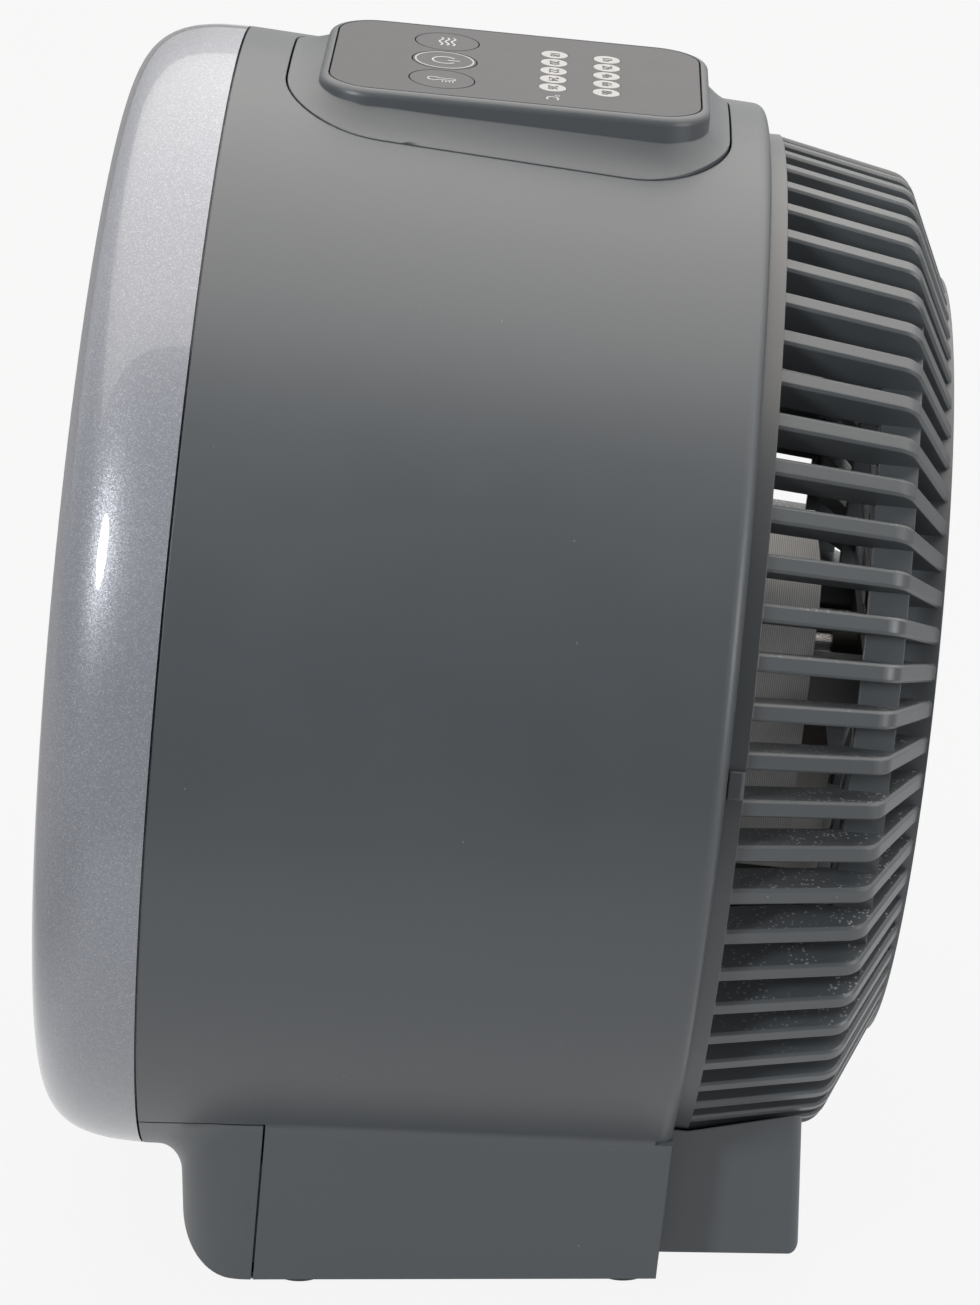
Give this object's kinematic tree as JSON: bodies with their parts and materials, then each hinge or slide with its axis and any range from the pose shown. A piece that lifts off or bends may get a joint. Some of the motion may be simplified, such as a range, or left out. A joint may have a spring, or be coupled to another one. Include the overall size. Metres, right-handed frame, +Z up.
{
  "type": "fan heater",
  "caption": "Drum-shaped fan heater on a short stand, with a soft front ring, a ribbed rear intake cage and a raised panel of push keys on top.",
  "frame": {"origin": "on the table, under the middle of the heater", "axes": "+Z up, -Y out of the front outlet, +X to the right of a person who faces the front"},
  "size_m": [0.268, 0.2123, 0.2745],
  "materials": {
    "body_plastic": "fine-grained dark grey moulded plastic",
    "ring_silver": "silver-grey plastic with fine metallic flake, glossy",
    "outlet_plastic": "heat-proof black plastic",
    "cage_plastic": "dark grey moulded plastic, satin",
    "foot_rubber": "black rubber",
    "panel_film": "satin grey panel with printed signs",
    "key_cap": "satin grey key with a printed sign",
    "light_window": "milky white window",
    "circuit_board": "green solder mask",
    "switch_plastic": "black phenolic",
    "led_resin": "pale resin",
    "fan_plastic": "black heat-proof plastic",
    "brass_nut": "turned brass",
    "bright_steel": "zinc-plated steel",
    "rotor_metal": "cast aluminium cage rotor",
    "lamination_steel": "stacked grey steel sheets",
    "white_nylon": "off-white nylon",
    "copper_wire": "enamelled copper wire",
    "bearing_bronze": "sintered bronze",
    "fin_aluminium": "bare aluminium",
    "relay_plastic": "blue relay case"
  },
  "bodies": {
    "housing": {"drum_shell": "body_plastic", "base_front": "body_plastic", "front_ring": "ring_silver", "front_grille": "outlet_plastic", "rear_grille": "cage_plastic", "base_plate": "body_plastic", "rear_foot": "body_plastic", "rubber_feet": "foot_rubber", "control_pod": "body_plastic", "control_panel": "panel_film", "indicator_lights": "light_window", "control_board": "circuit_board", "key_switches": "switch_plastic", "indicator_leds": "led_resin", "fan_shroud": "outlet_plastic", "motor_stator": "lamination_steel", "coil_bobbin": "white_nylon", "coil_winding": "copper_wire", "motor_front_bracket": "bright_steel", "motor_rear_bracket": "bright_steel", "motor_bearings": "bearing_bronze", "motor_bolts": "bright_steel", "heater_baffle": "bright_steel", "heater_holders": "white_nylon", "heater_fins": "fin_aluminium", "ptc_bars": "fin_aluminium", "thermal_cutout": "switch_plastic", "thermal_fuse": "bright_steel", "power_board": "circuit_board", "power_relays": "relay_plastic", "tilt_switch": "switch_plastic", "terminal_block": "white_nylon", "cord_gland": "foot_rubber"},
    "fan": {"fan_impeller": "fan_plastic", "impeller_nut": "brass_nut", "motor_shaft": "bright_steel", "motor_rotor": "rotor_metal"},
    "power_key": {"power_key": "key_cap"},
    "heat_key": {"heat_key": "key_cap"},
    "thermostat_key": {"thermostat_key": "key_cap"}
  },
  "joints": [
    {"name": "fan_spin", "type": "hinge", "parent": "housing", "child": "fan", "pos_m": [0, -0.07029, 0.1406], "axis": [0, 0.9957, -0.0924], "continuous": true},
    {"name": "power_key_press", "type": "slide", "parent": "housing", "child": "power_key", "axis": [0, -0.0924, -0.9957], "range_m": [0, 0.0008], "stiffness_N_per_m": 1000, "springref_m": -0.0004},
    {"name": "heat_key_press", "type": "slide", "parent": "housing", "child": "heat_key", "axis": [0, -0.0924, -0.9957], "range_m": [0, 0.0008], "stiffness_N_per_m": 1000, "springref_m": -0.0004},
    {"name": "thermostat_key_press", "type": "slide", "parent": "housing", "child": "thermostat_key", "axis": [0, -0.0924, -0.9957], "range_m": [0, 0.0008], "stiffness_N_per_m": 1000, "springref_m": -0.0004}
  ]
}
